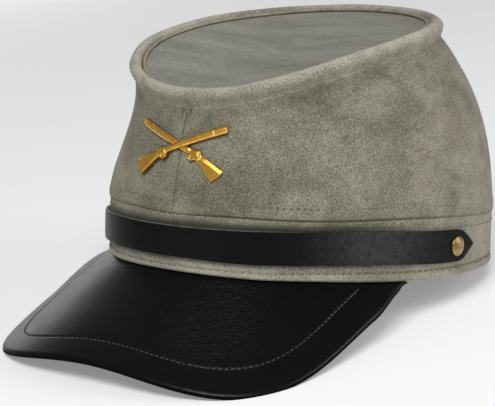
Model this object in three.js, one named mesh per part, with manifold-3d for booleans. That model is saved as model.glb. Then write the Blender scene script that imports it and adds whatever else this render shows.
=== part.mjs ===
// A leather forage cap, 1:1 in millimetres, +Z up, resting on its visor's two corners and the back of its band.
// The cap is drawn first in its own frame: the band's lower oval lies round the origin, the front faces -Y,
// and angles run round the head from 0 at the front to 90 at the wearer's left (+X) and 180 at the back.

import * as THREE from 'three';
import { mergeVertices } from 'three/addons/utils/BufferGeometryUtils.js';
import Module from 'manifold-3d';

// Clearance between pieces that touch on the real cap
const GAP = 0.3;

// Stations round a closed piece
const STATIONS = 64;

// Halvings of a range that is searched
const HALVINGS = 40;

// Band: a suede wall round the head opening with a rolled hem; its oval is measured on the outside
const BAND_OVAL = { halfWidth: 90.3, halfLength: 98, squareness: 2.1, narrowing: 0.06, centre: 0 };
const BAND_WALL = 2.3;
const HEM = { front: 0.5, drop: 4.5, settledAt: 100 };

// Section of the rolled hem, from the band's inner face round to its outer face; up is above the hem's lowest line
const HEM_ROLL = [
  { out: -BAND_WALL, up: 1.3 },
  { out: -BAND_WALL + 0.5, up: 0.3 },
  { out: -1.1, up: 0 },
  { out: -0.3, up: 0.25 },
  { out: 0.2, up: 1.2 },
  { out: 0.1, up: 2.5 },
  { out: -0.1, up: 3.2 },
  { out: 0, up: 4.4 },
];
const BAND_TOP_EDGE = 0.5;
const SEAM = { front: 26.2, drop: 4.2, dropsFrom: 65, settledAt: 125 };

// Crown: a suede wall from a lap inside the band up to a rolled rim
const CROWN_WALL = 1.8;
const CROWN_OVERHANG = 0.35;
const LAP_DEPTH = 8;
const RIM_OVAL = { halfWidth: 67.2, halfLength: 75.8, squareness: 2.2, narrowing: 0, centre: -12.65 };
const RIM = { height: 101.7, tilt: 12.45, saddle: -3.35, nod: -1.25, rollRadius: 3, rollDepth: 6 };
const NECK = { inset: 2.4, below: 6.5 };

// How far the crown wall stands out of the straight line from seam to neck, in waves round the head
const BULGE = [
  { waves: 0, low: 5.1, high: 5.5 },
  { waves: 1, low: -3.2, high: -11.4 },
  { waves: 2, low: -1.3, high: 2.3 },
  { waves: 3, low: 0, high: 5.5 },
];
const WALL_SHARES = [0, 0.05, 0.16, 0.32, 0.5, 0.68, 0.84, 1];

// Rough size of the crown wall at the front, in millimetres round the head for each degree and up the wall
const WALL_SPAN = { degree: 1.6, height: 70 };
const NORMAL_STEP = { angle: 0.5, share: 0.01 };

// Turns round the roll's section, from its outer lower side over the top to its inner lower side
const ROLL_TURNS = [-48, -20, 10, 45, 90, 135, 180, 220];

// Top panel and the welt that trims its edge
const PANEL = { wall: 1.6, below: 0.6, dish: 2.5 };
const PANEL_SHARES = [0.12, 0.4, 0.7, 1];
const WELT_RADIUS = 1.1;

// Visor: leather, square-fronted, with a flange stitched inside the band; its wearer's right corner is rounder and
// droops a little more, so that both corners reach the surface
const VISOR = {
  endAngle: 73,
  stations: 49,
  thickness: 2.4,
  edge: 1.5,
  skivedTo: 0.3,
  skivedOver: 10,
  frontSlope: 27.1,
  sideSlope: 36,
  leftCornerSlope: 4,
  rightCornerSlope: 4.75,
  footing: -3.8,
  flare: 8.3,
  underHem: 1.2,
  leastReach: 0.4,
  mostReach: 120,
};
const VISOR_SHARES = [0, 0.1, 0.25, 0.5, 0.75, 1];
const VISOR_OUTLINE = {
  halfWidth: 88,
  cornerStart: -72,
  reach: 83.2,
  leftSquareness: 3.06,
  rightSquareness: 2.84,
  rootHalfWidth: 84.2,
  root: -30,
};
const FLANGE = { wall: 1.8, top: 12, foldOuter: 0.6, foldInner: 1 };

// Chin strap, laid round the front of the band, with pointed ends
const STRAP = {
  halfWidth: 7.8,
  thickness: 2,
  edge: 0.5,
  middle: 13.3,
  tilt: 1,
  drop: 3.8,
  dropsFrom: 50,
  straightAngle: 92,
  step: 4,
  tipAngle: 97.8,
  tipBlunt: 0.6,
};
const STRAP_POINT = [92.8, 94.3, 96, STRAP.tipAngle];

// How far a hole's cutter reaches on either side of the wall's face
const HOLE_REACH = 10;

// Rivets through the strap and the band
const RIVET = { angle: 90, headRadius: 4.75, domeHeight: 2.2, shankRadius: 1.6, washerRadius: 4, washer: 1.2, bevel: 0.5 };
const RIVET_SIDES = 16;
const RIVET_DOME = [
  { radius: 0.8, along: 0.68 },
  { radius: 0.45, along: 0.93 },
  { radius: 0, along: 1 },
];

// Badge: crossed rifles, bent to the crown's front, held by two posts with nuts inside
const BADGE = { share: 0.63, backTilt: 26.3, frontTilt: 23.2, backRelief: 1.7, frontRelief: 2.5, fittings: 12 };
const POST = { across: 10.5, down: 4.8, radius: 0.8, nutRadius: 3, nut: 1.2, sides: 10 };
const RIFLE = [
  { along: -27.4, above: 3.2, below: -1.6 },
  { along: -26.6, above: 3.4, below: 0.4 },
  { along: -24.6, above: 3.1, below: 4.7 },
  { along: -19.5, above: 2.9, below: 3.4 },
  { along: -16.2, above: 2.2, below: 2.3 },
  { along: -14.2, above: 1.3, below: 1.9 },
  { along: -12.0, above: 3.3, below: 2.2 },
  { along: -10.4, above: 3.2, below: 3.9 },
  { along: -7.6, above: 1.9, below: 3.6 },
  { along: -6.0, above: 1.2, below: 1.4 },
  { along: 0.0, above: 1.3, below: 1.4 },
  { along: 6.0, above: 1.6, below: 1.7 },
  { along: 18.0, above: 1.7, below: 1.8 },
  { along: 23.6, above: 1.6, below: 1.7 },
  { along: 25.4, above: 0.8, below: 0.8 },
];

// Section across a rifle: side is the share of its half height, relief the share of its thickness
const RIFLE_SECTION = [
  { side: -1, relief: 0 },
  { side: -1, relief: 0.6 },
  { side: -0.5, relief: 1 },
  { side: 0.5, relief: 1 },
  { side: 1, relief: 0.6 },
  { side: 1, relief: 0 },
];

// Resting: suede and leather flatten this much where they meet the surface
const FLATTENED = 0.4;
const SURFACE_SIZE = 500;

const FINISH = {
  suede: { color: 0x8b8776, roughness: 0.95, metalness: 0 },
  panelSuede: { color: 0x85857a, roughness: 0.95, metalness: 0 },
  smoothLeather: { color: 0x141416, roughness: 0.4, metalness: 0 },
  brass: { color: 0xa98a4b, roughness: 0.4, metalness: 1 },
  gilt: { color: 0xd39a2c, roughness: 0.3, metalness: 1 },
};

const radians = THREE.MathUtils.degToRad;
const lerp = THREE.MathUtils.lerp;
const smoothstep = THREE.MathUtils.smoothstep;
const signedPower = (value, power) => Math.sign(value) * Math.abs(value) ** power;
const wasm = await Module();
wasm.setup();

// Plan position on an oval at an angle in degrees
function ovalPoint(oval, angle) {
  const sine = Math.sin(radians(angle));
  const cosine = Math.cos(radians(angle));
  const power = 2 / oval.squareness;
  return new THREE.Vector2(
    oval.halfWidth * signedPower(sine, power) * (1 - oval.narrowing * cosine),
    oval.centre - oval.halfLength * signedPower(cosine, power),
  );
}

// Unit vector pointing out of an oval in plan
function outward(oval, angle) {
  const step = 0.25;
  const tangent = ovalPoint(oval, angle + step).sub(ovalPoint(oval, angle - step));
  return new THREE.Vector2(tangent.y, -tangent.x).normalize();
}

// A point that stands off an oval by an offset, at a height
function besideOval(oval, angle, offset, height) {
  const plan = ovalPoint(oval, angle).addScaledVector(outward(oval, angle), offset);
  return new THREE.Vector3(plan.x, plan.y, height);
}

// Angle away from the front, 0 to 180, on either side
function fromFront(angle) {
  const turned = ((angle % 360) + 360) % 360;
  return Math.min(turned, 360 - turned);
}

function hemHeight(angle) {
  return HEM.front - HEM.drop * smoothstep(fromFront(angle), 0, HEM.settledAt);
}

function seamHeight(angle) {
  return SEAM.front - SEAM.drop * smoothstep(fromFront(angle), SEAM.dropsFrom, SEAM.settledAt);
}

// Height of the rim roll's centre at an angle
function rimHeight(angle) {
  const back = ovalPoint(RIM_OVAL, angle).y - RIM_OVAL.centre;
  const turn = radians(angle);
  return RIM.height + Math.tan(radians(RIM.tilt)) * back + RIM.saddle * Math.cos(2 * turn) + RIM.nod * Math.cos(3 * turn);
}

function bulge(column, angle) {
  return BULGE.reduce((sum, row) => sum + row[column] * Math.cos(row.waves * radians(angle)), 0);
}

// Outer face of the crown wall, share 0 at the seam and 1 at the neck under the rim
function wallPoint(angle, share) {
  const foot = besideOval(BAND_OVAL, angle, CROWN_OVERHANG, seamHeight(angle) + GAP);
  const neck = besideOval(RIM_OVAL, angle, RIM.rollRadius - NECK.inset, rimHeight(angle) - NECK.below);
  const low = 3 * (1 - share) ** 2 * share * bulge('low', angle);
  const high = 3 * (1 - share) * share ** 2 * bulge('high', angle);
  const out = outward(BAND_OVAL, angle).lerp(outward(RIM_OVAL, angle), share);
  const point = foot.lerp(neck, share);
  return point.add(new THREE.Vector3(out.x, out.y, 0).multiplyScalar(low + high));
}

function wallNormal(angle, share) {
  const around = wallPoint(angle + NORMAL_STEP.angle, share).sub(wallPoint(angle - NORMAL_STEP.angle, share));
  const up = wallPoint(angle, share + NORMAL_STEP.share).sub(wallPoint(angle, share - NORMAL_STEP.share));
  return around.cross(up).normalize();
}

// Joins rings of equal length into one closed skin; a ring that doesn't close on the first is capped
function loft(rings, closes) {
  const count = rings[0].length;
  const positions = rings.flat().flatMap((point) => point.toArray());
  const indices = [];
  const spans = closes ? rings.length : rings.length - 1;
  for (let ring = 0; ring < spans; ring++) {
    const here = ring * count;
    const next = ((ring + 1) % rings.length) * count;
    for (let side = 0; side < count; side++) {
      const beside = (side + 1) % count;
      indices.push(here + side, next + side, next + beside);
      indices.push(here + side, next + beside, here + beside);
    }
  }
  if (!closes) {
    capRing(rings[0], 0, indices, true);
    capRing(rings.at(-1), (rings.length - 1) * count, indices, false);
  }
  const geometry = new THREE.BufferGeometry();
  geometry.setAttribute('position', new THREE.Float32BufferAttribute(positions, 3));
  geometry.setIndex(indices);
  return outsideOut(geometry);
}

// Triangles over an end ring, cut in the ring's own plane
function capRing(ring, first, indices, reversed) {
  const centre = ring.reduce((sum, point) => sum.add(point), new THREE.Vector3()).divideScalar(ring.length);
  const normal = new THREE.Vector3();
  ring.forEach((point, side) => {
    const after = ring[(side + 1) % ring.length];
    normal.add(point.clone().sub(centre).cross(after.clone().sub(centre)));
  });
  const turn = new THREE.Quaternion().setFromUnitVectors(normal.normalize(), new THREE.Vector3(0, 0, 1));
  const flat = ring.map((point) => {
    const laid = point.clone().sub(centre).applyQuaternion(turn);
    return new THREE.Vector2(laid.x, laid.y);
  });
  for (const [a, b, c] of THREE.ShapeUtils.triangulateShape(flat, [])) {
    indices.push(...(reversed ? [first + a, first + b, first + c] : [first + c, first + b, first + a]));
  }
}

// Turns every face round when the skin encloses a negative volume
function outsideOut(geometry) {
  const index = geometry.getIndex();
  const corner = [new THREE.Vector3(), new THREE.Vector3(), new THREE.Vector3()];
  let volume = 0;
  for (let face = 0; face < index.count; face += 3) {
    corner.forEach((point, side) => point.fromBufferAttribute(geometry.attributes.position, index.getX(face + side)));
    volume += corner[0].dot(corner[1].clone().cross(corner[2]));
  }
  if (volume < 0) {
    for (let face = 0; face < index.count; face += 3) {
      const second = index.getX(face + 1);
      index.setX(face + 1, index.getX(face + 2));
      index.setX(face + 2, second);
    }
  }
  return geometry;
}

function solidOf(geometry) {
  const bare = geometry.clone();
  bare.deleteAttribute('normal');
  bare.deleteAttribute('uv');
  const merged = mergeVertices(bare, 1e-4);
  const mesh = new wasm.Mesh({
    numProp: 3,
    vertProperties: new Float32Array(merged.attributes.position.array),
    triVerts: new Uint32Array(merged.getIndex().array),
  });
  return new wasm.Manifold(mesh);
}

function geometryOf(solid) {
  const mesh = solid.getMesh();
  const geometry = new THREE.BufferGeometry();
  geometry.setAttribute('position', new THREE.Float32BufferAttribute(mesh.vertProperties, 3));
  geometry.setIndex(Array.from(mesh.triVerts));
  return geometry;
}

// Cuts every tool out of a piece
function cut(geometry, tools) {
  return geometryOf(tools.reduce((solid, tool) => solid.subtract(solidOf(tool)), solidOf(geometry)));
}

// Turns a shape drawn round +Z so that it points along a direction from a place
function aim(geometry, place, direction) {
  const turn = new THREE.Quaternion().setFromUnitVectors(new THREE.Vector3(0, 0, 1), direction);
  return geometry.applyQuaternion(turn).translate(place.x, place.y, place.z);
}

function rod(radius, from, to, sides) {
  return new THREE.CylinderGeometry(radius, radius, to - from, sides)
    .rotateX(Math.PI / 2)
    .translate(0, 0, (from + to) / 2);
}

// Rings at equal steps all round the head
function allRound(section) {
  return Array.from({ length: STATIONS }, (_, station) => section((station * 360) / STATIONS));
}

// Band: section from the hem's inner edge, under, up the outer face, over the top and down inside
function bandSkin() {
  const section = (angle) => {
    const hem = hemHeight(angle);
    const top = seamHeight(angle);
    return [
      ...HEM_ROLL.map(({ out, up }) => besideOval(BAND_OVAL, angle, out, hem + up)),
      besideOval(BAND_OVAL, angle, 0, top - BAND_TOP_EDGE),
      besideOval(BAND_OVAL, angle, -BAND_TOP_EDGE, top),
      besideOval(BAND_OVAL, angle, -BAND_WALL, top),
    ];
  };
  return loft(allRound(section), true);
}

// Crown side: up outside from the lap, over the rim's roll and down inside
function crownSideGeometry() {
  const lapOuter = -BAND_WALL - GAP;
  const lapInner = lapOuter - CROWN_WALL;
  const section = (angle) => {
    const seam = seamHeight(angle);
    const rise = rimHeight(angle);
    const ring = [
      besideOval(BAND_OVAL, angle, lapInner, seam - LAP_DEPTH),
      besideOval(BAND_OVAL, angle, lapOuter, seam - LAP_DEPTH),
      besideOval(BAND_OVAL, angle, lapOuter, seam + GAP),
    ];
    WALL_SHARES.forEach((share) => ring.push(wallPoint(angle, share)));
    for (const turn of ROLL_TURNS) {
      const out = RIM.rollRadius * Math.cos(radians(turn));
      const tall = turn < 0 ? RIM.rollDepth : RIM.rollRadius;
      ring.push(besideOval(RIM_OVAL, angle, out, rise + tall * Math.sin(radians(turn))));
    }
    for (const share of WALL_SHARES.slice(2).reverse()) {
      ring.push(wallPoint(angle, share).addScaledVector(wallNormal(angle, share), -CROWN_WALL));
    }
    ring.push(besideOval(BAND_OVAL, angle, lapInner, seam + 2));
    return ring;
  };
  return cut(loft(allRound(section), true), postHoles());
}

// Height of the top panel's face at a share of the way out to the rim
function panelHeight(angle, share) {
  const level = RIM.height - PANEL.below;
  return lerp(level, rimHeight(angle) - PANEL.below, share) - PANEL.dish * (1 - share ** 2);
}

// Top panel: a dished oval sheet whose edge meets the rim's roll from inside
function crownTopGeometry() {
  const centre = new THREE.Vector2(0, RIM_OVAL.centre);
  const loop = (share, drop) => allRound((angle) => {
    const edge = ovalPoint(RIM_OVAL, angle).addScaledVector(outward(RIM_OVAL, angle), -RIM.rollRadius - GAP);
    const plan = centre.clone().lerp(edge, share);
    return new THREE.Vector3(plan.x, plan.y, panelHeight(angle, share) - drop);
  });
  const upper = PANEL_SHARES.map((share) => loop(share, 0));
  const lower = PANEL_SHARES.map((share) => loop(share, PANEL.wall)).reverse();
  return loft([...upper, ...lower], false);
}

// Welt: a thin bead that lies on the panel's edge against the roll
function topWeltGeometry() {
  const away = -RIM.rollRadius - GAP - WELT_RADIUS;
  const section = (angle) => {
    const level = rimHeight(angle) - PANEL.below + GAP + WELT_RADIUS;
    return [0, 60, 120, 180, 240, 300].map((turn) => besideOval(
      RIM_OVAL,
      angle,
      away + WELT_RADIUS * Math.cos(radians(turn)),
      level + WELT_RADIUS * Math.sin(radians(turn)),
    ));
  };
  return loft(allRound(section), true);
}

// Inside the visor's plan outline: straight sides, then rounded corners into a square front
function withinVisor(point) {
  const { halfWidth, cornerStart, reach, rootHalfWidth, root } = VISOR_OUTLINE;
  const squareness = point.x > 0 ? VISOR_OUTLINE.leftSquareness : VISOR_OUTLINE.rightSquareness;
  const across = Math.abs(point.x);
  if (point.y > cornerStart) {
    return across < lerp(halfWidth, rootHalfWidth, smoothstep(point.y, cornerStart, root));
  }
  return (across / halfWidth) ** squareness + ((cornerStart - point.y) / reach) ** squareness < 1;
}

// Distance from the band to the visor's outline, straight out from the band
function visorReach(angle) {
  let inside = 0;
  let outside = VISOR.mostReach;
  for (let halving = 0; halving < HALVINGS; halving++) {
    const middle = (inside + outside) / 2;
    if (withinVisor(besideOval(BAND_OVAL, angle, middle, 0))) inside = middle;
    else outside = middle;
  }
  return inside;
}

// Height of the visor's upper face at a distance out from the band
function visorHeight(angle, distance) {
  const turn = radians(angle);
  const towardsSide = lerp(VISOR.frontSlope, VISOR.sideSlope, Math.sin(turn) ** 2);
  const cornerSlope = angle > 0 ? VISOR.leftCornerSlope : VISOR.rightCornerSlope;
  const slope = towardsSide + cornerSlope * Math.sin(2 * turn) ** 2;
  const root = hemHeight(angle) - VISOR.underHem;
  const flare = (root - VISOR.footing) * Math.exp(-distance / VISOR.flare);
  return VISOR.footing + flare - Math.tan(radians(slope)) * distance;
}

function visorSkin() {
  const fullDrop = VISOR.thickness / Math.cos(radians((VISOR.frontSlope + VISOR.sideSlope) / 2));
  const section = (angle) => {
    const reach = Math.max(visorReach(angle), VISOR.leastReach);
    const hem = hemHeight(angle);
    const flangeOuter = -BAND_WALL - GAP;
    const flangeInner = flangeOuter - FLANGE.wall;
    const edge = Math.min(VISOR.edge, reach / 3);
    const skived = smoothstep(VISOR.endAngle - Math.abs(angle), 0, VISOR.skivedOver);
    const drop = fullDrop * lerp(VISOR.skivedTo, 1, skived);
    const at = (out, up) => besideOval(BAND_OVAL, angle, out, up);
    const face = (out, below) => at(out, visorHeight(angle, out) - below);
    return [
      at(flangeInner, FLANGE.top),
      at(flangeOuter, FLANGE.top),
      at(flangeOuter, hem + FLANGE.foldOuter),
      at(flangeOuter / 2, hem - VISOR.underHem / 2),
      ...VISOR_SHARES.map((share) => face((reach - edge / 3) * share, 0)),
      face(reach, drop / 4),
      face(reach - edge / 3, (3 * drop) / 4),
      ...VISOR_SHARES.map((share) => face((reach - edge) * share, drop)).reverse(),
      at(flangeOuter, hem - VISOR.underHem / 2 - drop),
      at(flangeInner, hem - FLANGE.foldInner),
    ];
  };
  const step = (2 * VISOR.endAngle) / (VISOR.stations - 1);
  const angles = Array.from({ length: VISOR.stations }, (_, station) => -VISOR.endAngle + station * step);
  return loft(angles.map(section), false);
}

// Height of the strap's middle line, which sits a little higher on the wearer's left
function strapMiddle(angle) {
  const tilt = STRAP.tilt * Math.sin(radians(angle));
  return STRAP.middle + tilt - STRAP.drop * smoothstep(fromFront(angle), STRAP.dropsFrom, STRAP.tipAngle);
}

function chinStrapGeometry() {
  const section = (angle) => {
    const toTip = smoothstep(fromFront(angle), STRAP.straightAngle, STRAP.tipAngle + STRAP.tipBlunt);
    const half = lerp(STRAP.halfWidth, 0, toTip);
    const inner = GAP;
    const outer = GAP + STRAP.thickness;
    const edge = Math.min(STRAP.edge, half / 2);
    return [
      { out: inner, up: -half },
      { out: outer - edge, up: -half },
      { out: outer, up: -half + edge },
      { out: outer, up: half - edge },
      { out: outer - edge, up: half },
      { out: inner, up: half },
    ].map(({ out, up }) => besideOval(BAND_OVAL, angle, out, strapMiddle(angle) + up));
  };
  const angles = [];
  for (let angle = -STRAP.straightAngle; angle <= STRAP.straightAngle; angle += STRAP.step) angles.push(angle);
  for (const angle of STRAP_POINT) {
    angles.push(angle);
    angles.unshift(-angle);
  }
  return cut(loft(angles.map(section), false), rivetHoles());
}

// Seat of the rivet on one side: a place on the band's outer face and the way out
function rivetSeat(side) {
  const angle = side * RIVET.angle;
  const out = outward(BAND_OVAL, angle);
  return {
    place: besideOval(BAND_OVAL, angle, 0, strapMiddle(angle)),
    direction: new THREE.Vector3(out.x, out.y, 0),
  };
}

function rivetHoles() {
  return [-1, 1].map((side) => {
    const { place, direction } = rivetSeat(side);
    return aim(rod(RIVET.shankRadius + GAP, -HOLE_REACH, HOLE_REACH, RIVET_SIDES), place, direction);
  });
}

// Rivet: washer inside, shank, and a domed head over the strap
function rivetGeometry() {
  const under = STRAP.thickness + 2 * GAP;
  const inside = -BAND_WALL - GAP;
  const { headRadius, domeHeight, shankRadius, washerRadius, washer, bevel } = RIVET;
  const profile = [
    { radius: 0, along: inside - washer },
    { radius: washerRadius - bevel, along: inside - washer },
    { radius: washerRadius, along: inside - washer + bevel },
    { radius: washerRadius, along: inside },
    { radius: shankRadius, along: inside },
    { radius: shankRadius, along: under },
    { radius: headRadius - bevel / 2, along: under },
    { radius: headRadius, along: under + bevel },
    ...RIVET_DOME.map(({ radius, along }) => ({ radius: radius * headRadius, along: under + along * domeHeight })),
  ].map(({ radius, along }) => new THREE.Vector2(radius, along));
  return new THREE.LatheGeometry(profile, RIVET_SIDES).rotateX(Math.PI / 2);
}

// Frame of the badge on the crown's front: its middle, its right and its up
function badgeFrame() {
  const right = new THREE.Vector3(1, 0, 0);
  return { place: wallPoint(0, BADGE.share), right, up: wallNormal(0, BADGE.share).cross(right) };
}

// The crown wall's angle and share straight behind a point of the badge's plane
function behindBadge(across, rise) {
  const { place, right, up } = badgeFrame();
  let angle = 0;
  let share = BADGE.share;
  for (let round = 0; round < BADGE.fittings; round++) {
    const here = wallPoint(angle, share).sub(place);
    angle += (across - here.dot(right)) / WALL_SPAN.degree;
    share += (rise - here.dot(up)) / WALL_SPAN.height;
  }
  return { angle, share };
}

function onBadge(across, rise, depth) {
  const { angle, share } = behindBadge(across, rise);
  return wallPoint(angle, share).addScaledVector(wallNormal(angle, share), depth);
}

// One rifle, pointing up to one side, with a flat back and a raised front
function rifleGeometry(side, tilt, relief) {
  const along = { across: side * Math.cos(radians(tilt)), rise: Math.sin(radians(tilt)) };
  const upward = { across: -side * along.rise, rise: side * along.across };
  const place = (row, height, depth) => onBadge(
    row.along * along.across + height * upward.across,
    row.along * along.rise + height * upward.rise,
    depth,
  );
  const rings = RIFLE.map((row) => {
    const middle = (row.above - row.below) / 2;
    const half = (row.above + row.below) / 2;
    return RIFLE_SECTION.map((point) => (
      place(row, middle + half * point.side, Math.max(GAP, relief * point.relief))
    ));
  });
  return loft(rings, false);
}

// The badge's two posts stand behind the rifles' locks
function postSeats() {
  return [-1, 1].map((side) => {
    const { angle, share } = behindBadge(side * POST.across, -POST.down);
    return { place: wallPoint(angle, share), direction: wallNormal(angle, share) };
  });
}

function postHoles() {
  return postSeats().map(({ place, direction }) => (
    aim(rod(POST.radius + GAP, -HOLE_REACH, HOLE_REACH, POST.sides), place, direction)
  ));
}

function badgeGeometry() {
  const inside = -CROWN_WALL - GAP;
  const back = rifleGeometry(-1, BADGE.backTilt, BADGE.backRelief);
  const front = rifleGeometry(1, BADGE.frontTilt, BADGE.frontRelief);
  let solid = solidOf(back).add(solidOf(front));
  for (const { place, direction } of postSeats()) {
    const post = aim(rod(POST.radius, inside - POST.nut / 2, BADGE.backRelief / 2, POST.sides), place, direction);
    const nut = aim(rod(POST.nutRadius, inside - POST.nut, inside, POST.sides), place, direction);
    solid = solid.add(solidOf(post)).add(solidOf(nut));
  }
  return geometryOf(solid);
}

// Lowest point of a shape once the cap is pitched back by an angle
function lowestAt(geometry, pitch) {
  const position = geometry.attributes.position;
  let lowest = Infinity;
  for (let vertex = 0; vertex < position.count; vertex++) {
    const height = position.getY(vertex) * Math.sin(pitch) + position.getZ(vertex) * Math.cos(pitch);
    lowest = Math.min(lowest, height);
  }
  return lowest;
}

// Pitch about X at which the visor's corners and the back of the hem are level
function restingPitch(visor, band) {
  let less = radians(-30);
  let more = 0;
  for (let halving = 0; halving < HALVINGS; halving++) {
    const middle = (less + more) / 2;
    if (lowestAt(visor, middle) > lowestAt(band, middle)) less = middle;
    else more = middle;
  }
  return (less + more) / 2;
}

// The cap's own frame is pitched back until it rests, then lowered so that its contacts flatten
const visor = visorSkin();
const band = bandSkin();
const pitch = restingPitch(visor, band);
const cap = new THREE.Group();
cap.rotation.x = pitch;
cap.position.z = -lowestAt(visor, pitch) - FLATTENED;
cap.updateMatrixWorld();

// Everything under the surface that the cap rests on, in the cap's own frame
function underSurface() {
  return new THREE.BoxGeometry(SURFACE_SIZE, SURFACE_SIZE, SURFACE_SIZE)
    .translate(0, 0, -SURFACE_SIZE / 2)
    .applyMatrix4(cap.matrixWorld.clone().invert());
}

const shapes = {
  band: cut(band, [...rivetHoles(), underSurface()]),
  crown_side: crownSideGeometry(),
  crown_top: crownTopGeometry(),
  top_welt: topWeltGeometry(),
  visor: cut(visor, [underSurface()]),
  chin_strap: chinStrapGeometry(),
  badge: badgeGeometry(),
};

const finishOf = {
  band: 'suede',
  crown_side: 'suede',
  crown_top: 'panelSuede',
  top_welt: 'suede',
  visor: 'smoothLeather',
  chin_strap: 'smoothLeather',
  badge: 'gilt',
};

function named(name, geometry, finish) {
  const mesh = new THREE.Mesh(geometry, new THREE.MeshStandardMaterial(FINISH[finish]));
  mesh.name = name;
  cap.add(mesh);
  return mesh;
}

for (const [name, geometry] of Object.entries(shapes)) named(name, geometry, finishOf[name]);

for (const { name, side } of [{ name: 'rivet_left', side: 1 }, { name: 'rivet_right', side: -1 }]) {
  const { place, direction } = rivetSeat(side);
  const rivet = named(name, rivetGeometry(), 'brass');
  rivet.position.copy(place);
  rivet.quaternion.setFromUnitVectors(new THREE.Vector3(0, 0, 1), direction);
}

// The reference point lies on the surface, under the middle of the cap's width and length
const group = new THREE.Group();
group.add(cap);
const middle = new THREE.Box3().setFromObject(group, true).getCenter(new THREE.Vector3());
cap.position.x -= middle.x;
cap.position.y -= middle.y;

export default group;
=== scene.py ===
# %% [markdown]
# A leather forage cap, dressed for rendering
#
# The cap in this lesson is the low, forward-leaning cap of a nineteenth-century foot soldier. Its crown,
# band and top are grey suede, its visor and chin strap are smooth black leather, and a gilt badge of two
# crossed rifles sits on the front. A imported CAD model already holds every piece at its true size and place.
# Here each piece gets the finer shape and the finish that the eye expects.

import math
from types import SimpleNamespace as Sizes

import bmesh
import bpy
import numpy as np
from mathutils import Matrix, Vector, noise


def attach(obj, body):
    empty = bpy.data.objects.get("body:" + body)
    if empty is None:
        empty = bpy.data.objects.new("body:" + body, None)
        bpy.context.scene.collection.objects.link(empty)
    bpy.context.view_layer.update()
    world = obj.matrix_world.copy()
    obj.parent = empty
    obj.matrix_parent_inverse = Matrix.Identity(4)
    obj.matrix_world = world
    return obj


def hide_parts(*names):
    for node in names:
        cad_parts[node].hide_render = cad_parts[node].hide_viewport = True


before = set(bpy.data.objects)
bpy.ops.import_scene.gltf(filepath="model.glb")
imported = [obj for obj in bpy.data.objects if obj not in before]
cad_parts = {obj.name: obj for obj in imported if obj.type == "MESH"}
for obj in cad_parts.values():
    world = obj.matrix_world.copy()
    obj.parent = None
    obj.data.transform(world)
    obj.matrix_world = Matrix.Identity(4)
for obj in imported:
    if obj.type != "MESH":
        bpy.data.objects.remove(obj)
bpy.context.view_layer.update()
print("CAD nodes:", ", ".join(sorted(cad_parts)))

# %% [markdown]
# The cap is easiest to describe standing straight: its lower oval lies flat round the middle, the visor
# points along -Y, and angles run round the head from 0 at the front to 90 at the wearer's left and 180 at
# the back. Set down on a table it tips back on its visor's two corners and the back of its hem, so one
# matrix carries every point from the straight cap, in millimetres, to the resting one, in metres.

# %% From the straight cap to the resting cap
PITCH = -9.3406
FORWARD = 28.967
LIFT = 19.274

resting = (
    Matrix.Translation((0, FORWARD / 1000, LIFT / 1000))
    @ Matrix.Rotation(math.radians(PITCH), 4, "X")
    @ Matrix.Scale(0.001, 4)
)
print("the middle of the head opening rests at", [round(v, 4) for v in resting.translation])

# %% [markdown]
# A superellipse is the natural outline for a head: its squareness is 2 for an ellipse and grows as the
# sides flatten. The numbers below are the ones that the CAD pieces were made from. Written for NumPy, each
# function takes whole grids of angles at once, which keeps a mesh of fifty thousand points quick to make.

# %% The ovals of the band and the rim, in millimetres and degrees
BAND_OVAL = Sizes(half_width=90.3, half_length=98.0, squareness=2.1, narrowing=0.06, centre=0.0)
RIM_OVAL = Sizes(half_width=67.2, half_length=75.8, squareness=2.2, narrowing=0.0, centre=-12.65)
TANGENT_STEP = 0.25


def signed_power(value, power):
    return np.sign(value) * np.abs(value) ** power


def smoothstep(value, low, high):
    share = np.clip((value - low) / (high - low), 0, 1)
    return share * share * (3 - 2 * share)


def blend(share, first, second):
    return first * (1 - share) + second * share


def valley(distance, width):
    return np.exp(-(distance / width) ** 2)


def cos_of(degrees):
    return np.cos(np.radians(degrees))


def sin_of(degrees):
    return np.sin(np.radians(degrees))


def unit(vectors):
    return vectors / np.linalg.norm(vectors, axis=-1, keepdims=True)


def oval_point(oval, angle):
    power = 2 / oval.squareness
    narrowed = 1 - oval.narrowing * cos_of(angle)
    across = oval.half_width * signed_power(sin_of(angle), power) * narrowed
    along = oval.centre - oval.half_length * signed_power(cos_of(angle), power)
    return np.stack([across, along], axis=-1)


def outward(oval, angle):
    tangent = oval_point(oval, angle + TANGENT_STEP) - oval_point(oval, angle - TANGENT_STEP)
    return unit(np.stack([tangent[..., 1], -tangent[..., 0]], axis=-1))


def beside_oval(oval, angle, offset, height):
    angle, offset, height = np.broadcast_arrays(angle, offset, height)
    plan = oval_point(oval, angle) + outward(oval, angle) * offset[..., None]
    return np.concatenate([plan, height[..., None]], axis=-1)


def sweep(oval, angle, section):
    """Rings of points round the cap from a section's places, each a pair of out from the oval and up"""
    return np.stack([beside_oval(oval, angle, out, up) for out, up in section], axis=1)


def from_front(angle):
    around = np.mod(angle, 360)
    return np.minimum(around, 360 - around)


def length_along(points):
    """Millimetres from the first of a row of points to each of them"""
    return np.concatenate([[0.0], np.cumsum(np.linalg.norm(np.diff(points, axis=0), axis=-1))])


EVERY_HALF_DEGREE = np.linspace(0, 360, 721)
for place, oval in (("band", BAND_OVAL), ("rim", RIM_OVAL)):
    print("round the", place, round(float(length_along(oval_point(oval, EVERY_HALF_DEGREE))[-1])), "mm")

# %% [markdown]
# Three lines run round the cap at changing heights. The hem sinks towards the back and is pulled down by
# the visor in front. The seam between band and crown dips a little behind the ears. The rim slopes down to
# the front, which gives this cap its forward lean.

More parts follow.
